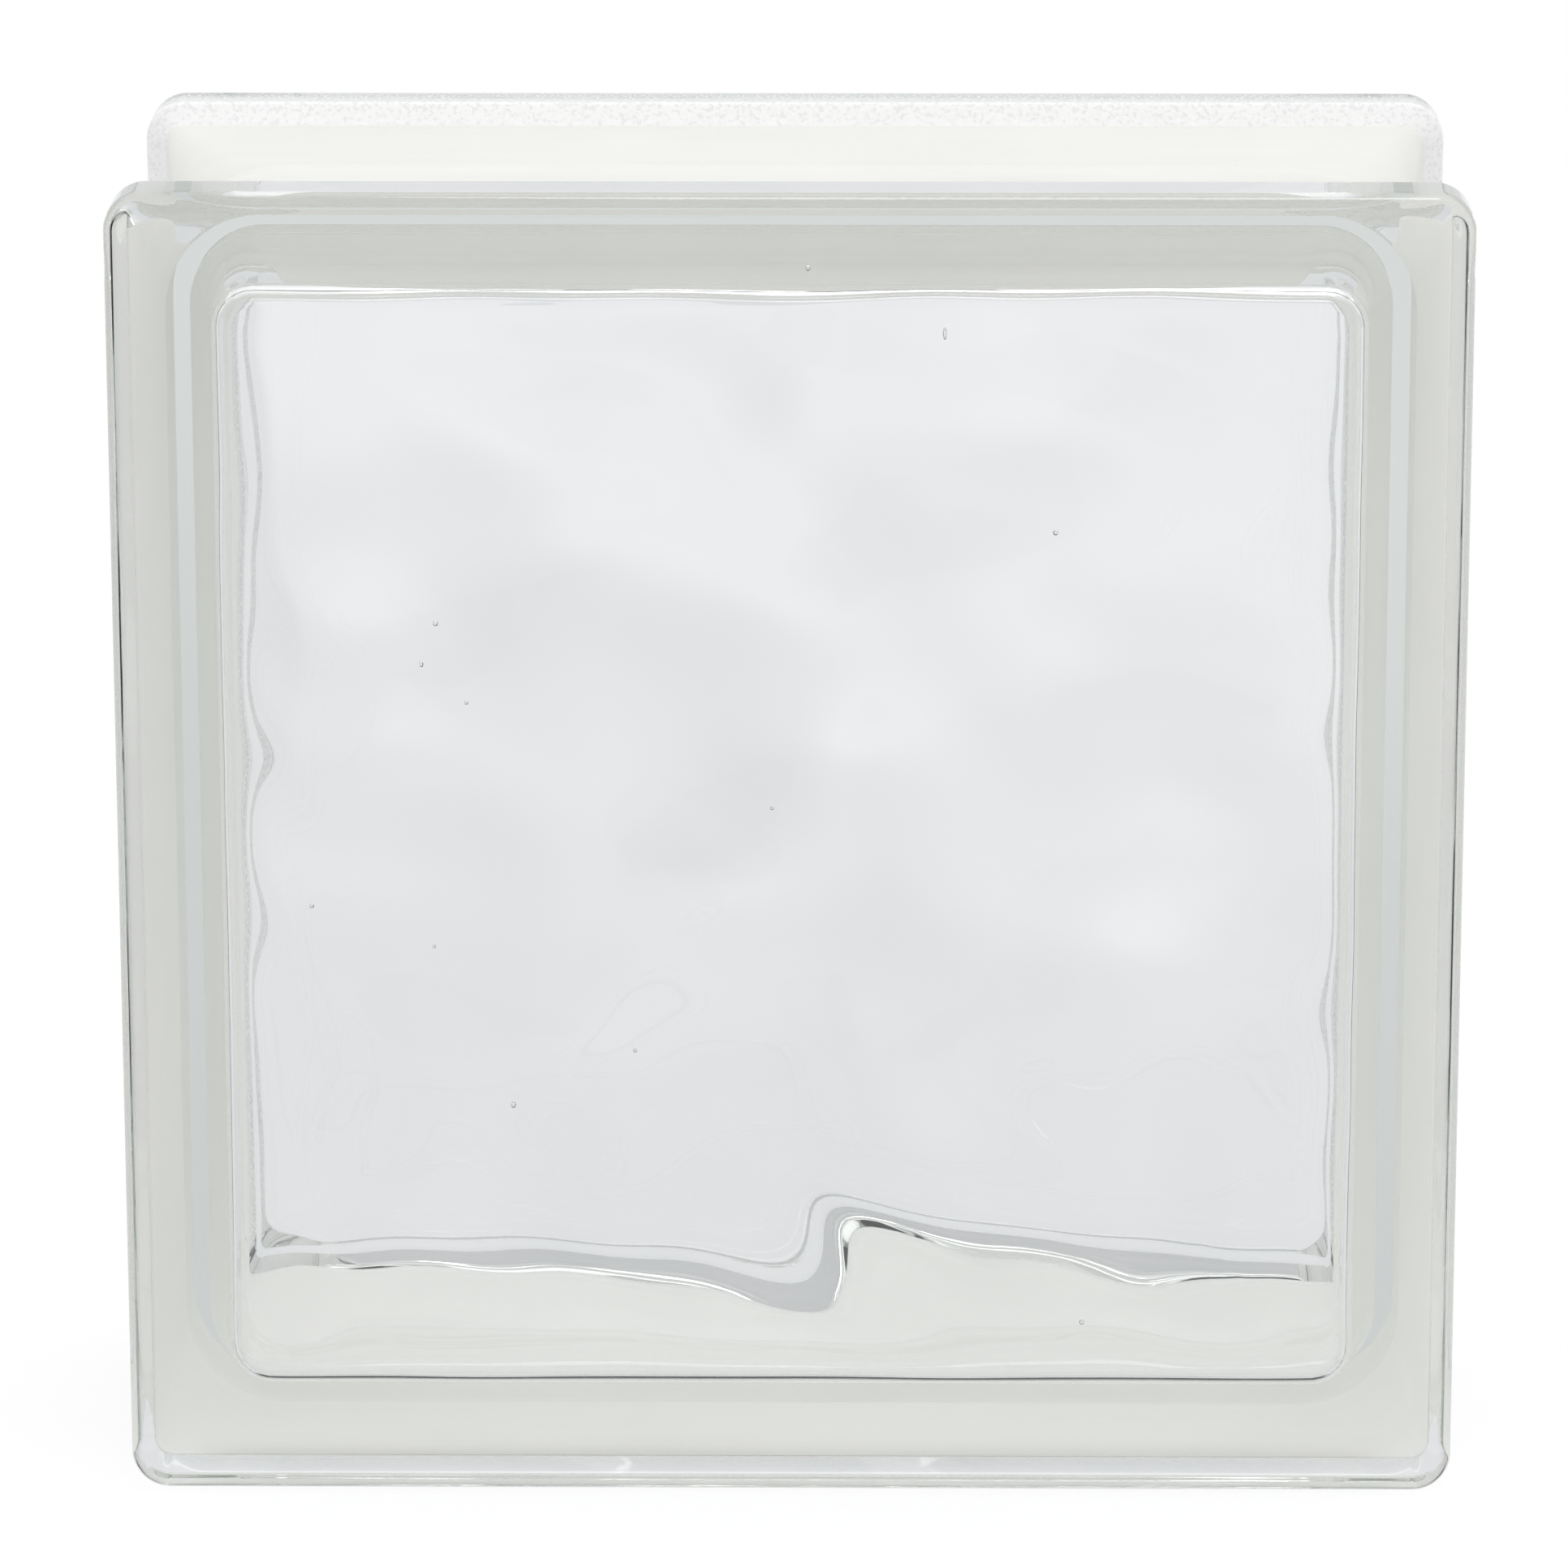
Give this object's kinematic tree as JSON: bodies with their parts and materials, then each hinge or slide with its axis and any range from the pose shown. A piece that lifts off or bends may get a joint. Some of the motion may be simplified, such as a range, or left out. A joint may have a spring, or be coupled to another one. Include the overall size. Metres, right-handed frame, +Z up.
{
  "type": "glass block",
  "caption": "Square hollow glass building block with waved inner faces, rounded corners and a white coated mortar channel around its edge.",
  "frame": {"origin": "middle of the underside, between the two lower flange strips that the block stands on", "axes": "+Z up as the block stands, front face looks along -Y, +X to the right seen from the front"},
  "size_m": [0.19, 0.08, 0.19],
  "materials": {
    "glass": "polished"
  },
  "bodies": {
    "root": {"glass_block": "glass"}
  },
  "joints": []
}
